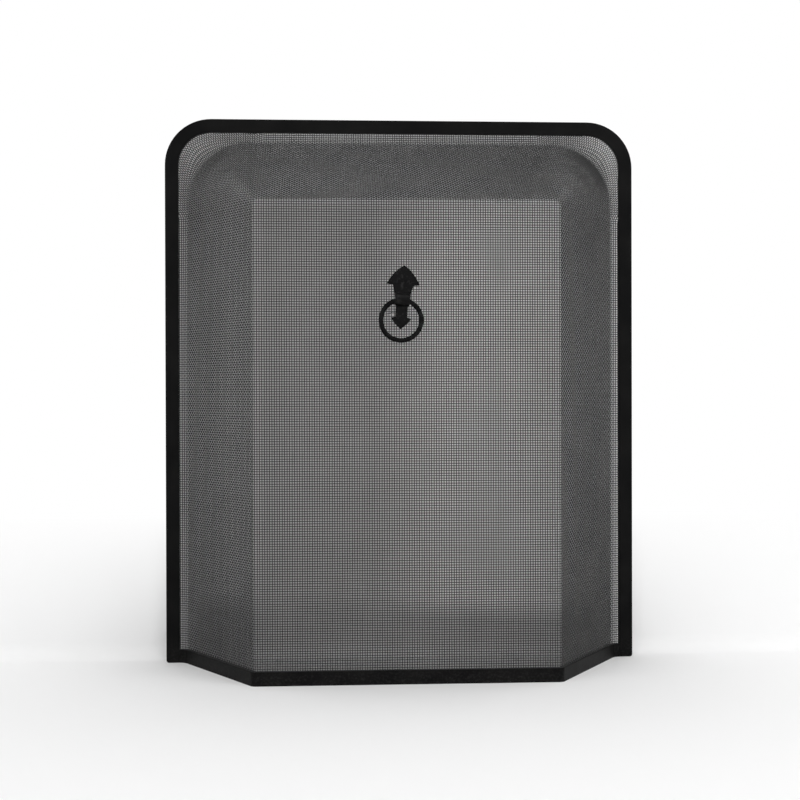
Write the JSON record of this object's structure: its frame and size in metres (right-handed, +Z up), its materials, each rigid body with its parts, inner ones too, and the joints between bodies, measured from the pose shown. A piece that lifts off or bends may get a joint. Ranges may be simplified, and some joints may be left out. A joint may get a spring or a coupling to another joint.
{
  "type": "fireplace screen",
  "caption": "Free-standing fireplace spark guard: a bulged wire cloth panel in a folded steel arch and base rail, with a spear-ended handle and drop ring.",
  "frame": {"origin": "on the floor, under the middle of the overall box", "axes": "+X to the right as seen from the room, -Y towards the room, +Z up"},
  "size_m": [0.52, 0.1406, 0.6],
  "materials": {
    "frame_paint": "black heat-resistant paint, satin, with a fine orange-peel texture",
    "wire_cloth": "black coated plain-weave steel wire, low sheen",
    "handle_iron": "black painted forged iron, faintly hammered, low sheen",
    "ring_iron": "black painted round bar, worn smoother than the strap",
    "bare_steel": "drawn mild steel, unpainted",
    "fixings": "dull zinc plate"
  },
  "bodies": {
    "screen": {"arch_channel": "frame_paint", "base_rail": "frame_paint", "arch_rod": "bare_steel", "base_rod": "bare_steel", "mesh_guard": "wire_cloth", "handle_strap": "handle_iron", "handle_studs": "fixings", "handle_washers": "fixings", "handle_nuts": "fixings", "foot_plate_left": "frame_paint", "foot_plate_right": "frame_paint", "foot_rivets": "fixings"},
    "ring": {"handle_ring": "ring_iron"}
  },
  "joints": [
    {"name": "ring_swing", "type": "hinge", "parent": "screen", "child": "ring", "pos_m": [-0.0057, -0.0637, 0.3918], "axis": [-0.998, 0, 0.0628], "range_deg": [0, 178]}
  ]
}
